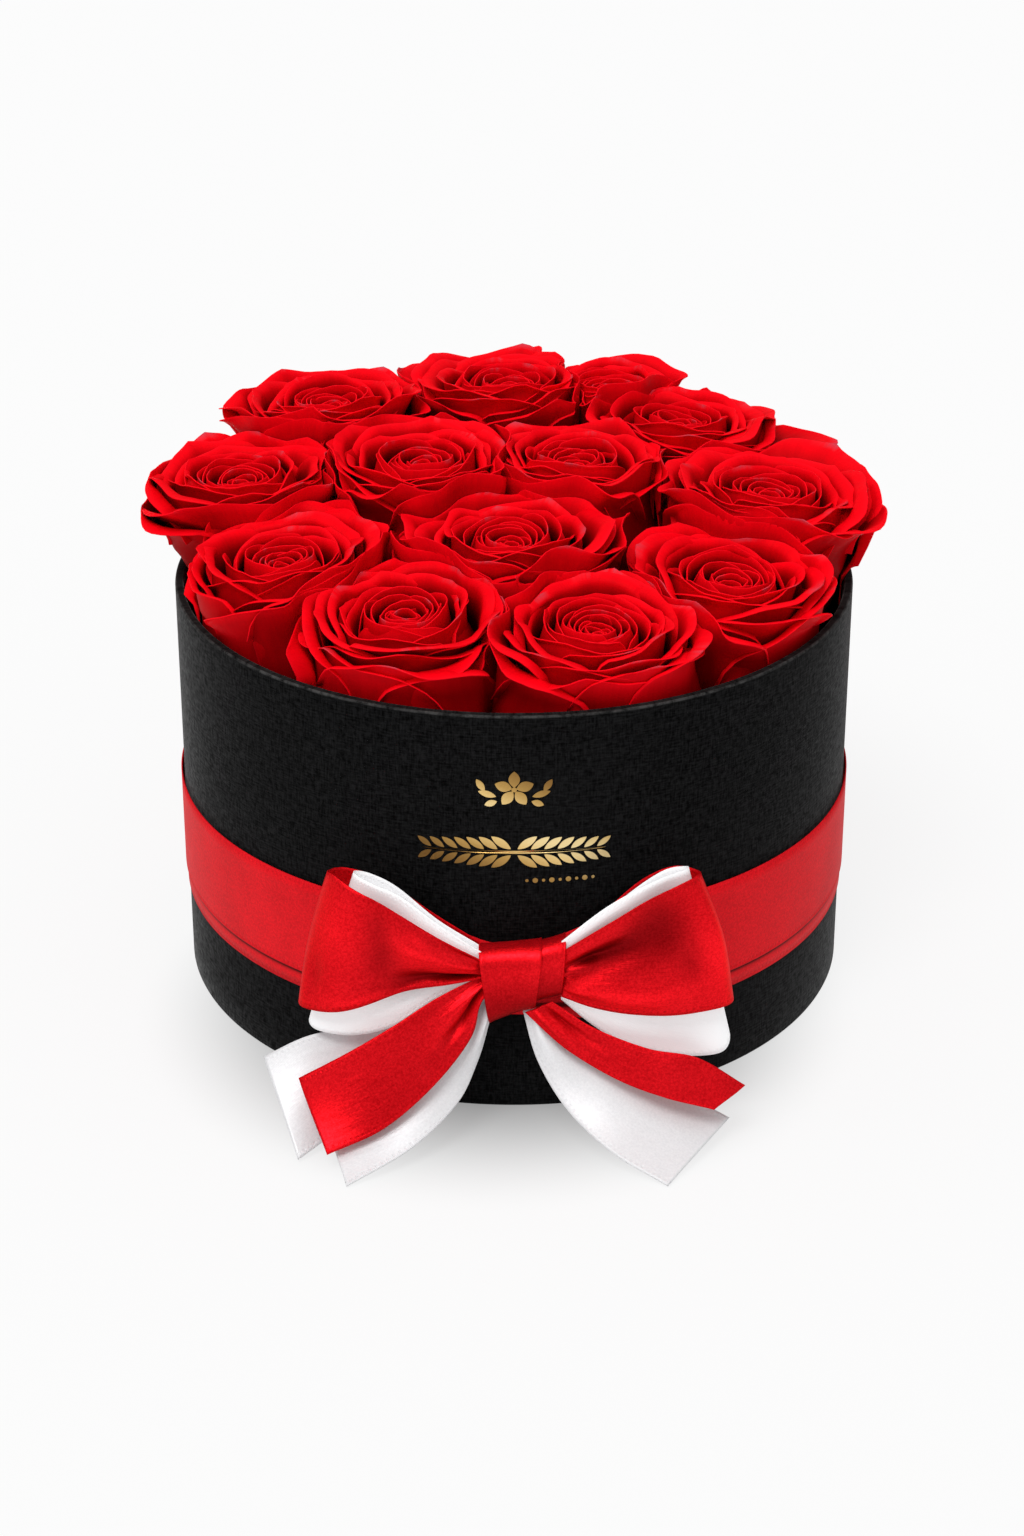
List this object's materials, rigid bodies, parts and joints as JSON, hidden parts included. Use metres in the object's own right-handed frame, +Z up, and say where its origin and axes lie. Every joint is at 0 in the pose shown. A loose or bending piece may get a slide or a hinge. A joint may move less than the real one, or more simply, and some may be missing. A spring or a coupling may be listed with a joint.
{
  "type": "flower box",
  "caption": "Round papered cardboard flower box with a lift-out foam insert, pull-out roses, a wrapped ribbon band and a two-colour ribbon bow.",
  "frame": {"origin": "centre of the underside of the box", "axes": "+Z up along the box's axis, -Y towards the bow and the foil emblem, +X to the right seen from the bow"},
  "size_m": [0.2083, 0.2426, 0.1632],
  "materials": {
    "linen_paper": "matte",
    "grey_board": "matte",
    "base_paper": "matte",
    "lining_paper": "matte",
    "liner_plastic": "satin",
    "foam": "matte",
    "band_satin": "satin",
    "red_satin": "satin",
    "white_satin": "satin",
    "gold_foil": "satin",
    "petals": "matte",
    "sepals": "matte",
    "stems": "matte"
  },
  "bodies": {
    "box": {"wrap_paper": "linen_paper", "box_board_tube": "grey_board", "lining_paper": "lining_paper", "base_board": "grey_board", "base_paper": "base_paper", "ribbon_band_under": "band_satin", "ribbon_band_over": "band_satin", "bow_knot": "red_satin", "bow_red_loop_left": "red_satin", "bow_red_loop_right": "red_satin", "bow_white_loop_left": "white_satin", "bow_white_loop_right": "white_satin", "bow_red_tail_left": "red_satin", "bow_red_tail_right": "red_satin", "bow_white_tail_left_inner": "white_satin", "bow_white_tail_left_outer": "white_satin", "bow_white_tail_right": "white_satin", "foil_rosette": "gold_foil", "foil_sprig": "gold_foil"},
    "insert": {"liner_pot": "liner_plastic", "foam_block": "foam"},
    "rose_01": {"rose_01_head": "petals", "rose_01_calyx": "sepals", "rose_01_stem": "stems"},
    "rose_02": {"rose_02_head": "petals", "rose_02_calyx": "sepals", "rose_02_stem": "stems"},
    "rose_03": {"rose_03_head": "petals", "rose_03_calyx": "sepals", "rose_03_stem": "stems"},
    "rose_04": {"rose_04_head": "petals", "rose_04_calyx": "sepals", "rose_04_stem": "stems"},
    "rose_05": {"rose_05_head": "petals", "rose_05_calyx": "sepals", "rose_05_stem": "stems"},
    "rose_06": {"rose_06_head": "petals", "rose_06_calyx": "sepals", "rose_06_stem": "stems"},
    "rose_07": {"rose_07_head": "petals", "rose_07_calyx": "sepals", "rose_07_stem": "stems"},
    "rose_08": {"rose_08_head": "petals", "rose_08_calyx": "sepals", "rose_08_stem": "stems"},
    "rose_09": {"rose_09_head": "petals", "rose_09_calyx": "sepals", "rose_09_stem": "stems"},
    "rose_10": {"rose_10_head": "petals", "rose_10_calyx": "sepals", "rose_10_stem": "stems"},
    "rose_11": {"rose_11_head": "petals", "rose_11_calyx": "sepals", "rose_11_stem": "stems"},
    "rose_12": {"rose_12_head": "petals", "rose_12_calyx": "sepals", "rose_12_stem": "stems"},
    "rose_13": {"rose_13_head": "petals", "rose_13_calyx": "sepals", "rose_13_stem": "stems"}
  },
  "joints": [
    {"name": "insert_lift", "type": "slide", "parent": "box", "child": "insert", "axis": [0, 0, 1], "range_m": [0, 0.125]},
    {"name": "rose_01_pull", "type": "slide", "parent": "insert", "child": "rose_01", "axis": [0, 0, 1], "range_m": [0, 0.05]},
    {"name": "rose_02_pull", "type": "slide", "parent": "insert", "child": "rose_02", "axis": [0, 0, 1], "range_m": [0, 0.05]},
    {"name": "rose_03_pull", "type": "slide", "parent": "insert", "child": "rose_03", "axis": [0, 0, 1], "range_m": [0, 0.05]},
    {"name": "rose_04_pull", "type": "slide", "parent": "insert", "child": "rose_04", "axis": [0, 0, 1], "range_m": [0, 0.05]},
    {"name": "rose_05_pull", "type": "slide", "parent": "insert", "child": "rose_05", "axis": [0, 0, 1], "range_m": [0, 0.05]},
    {"name": "rose_06_pull", "type": "slide", "parent": "insert", "child": "rose_06", "axis": [0, 0, 1], "range_m": [0, 0.05]},
    {"name": "rose_07_pull", "type": "slide", "parent": "insert", "child": "rose_07", "axis": [0, 0, 1], "range_m": [0, 0.05]},
    {"name": "rose_08_pull", "type": "slide", "parent": "insert", "child": "rose_08", "axis": [0, 0, 1], "range_m": [0, 0.05]},
    {"name": "rose_09_pull", "type": "slide", "parent": "insert", "child": "rose_09", "axis": [0, 0, 1], "range_m": [0, 0.05]},
    {"name": "rose_10_pull", "type": "slide", "parent": "insert", "child": "rose_10", "axis": [0, 0, 1], "range_m": [0, 0.05]},
    {"name": "rose_11_pull", "type": "slide", "parent": "insert", "child": "rose_11", "axis": [0, 0, 1], "range_m": [0, 0.05]},
    {"name": "rose_12_pull", "type": "slide", "parent": "insert", "child": "rose_12", "axis": [0, 0, 1], "range_m": [0, 0.05]},
    {"name": "rose_13_pull", "type": "slide", "parent": "insert", "child": "rose_13", "axis": [0, 0, 1], "range_m": [0, 0.05]}
  ]
}
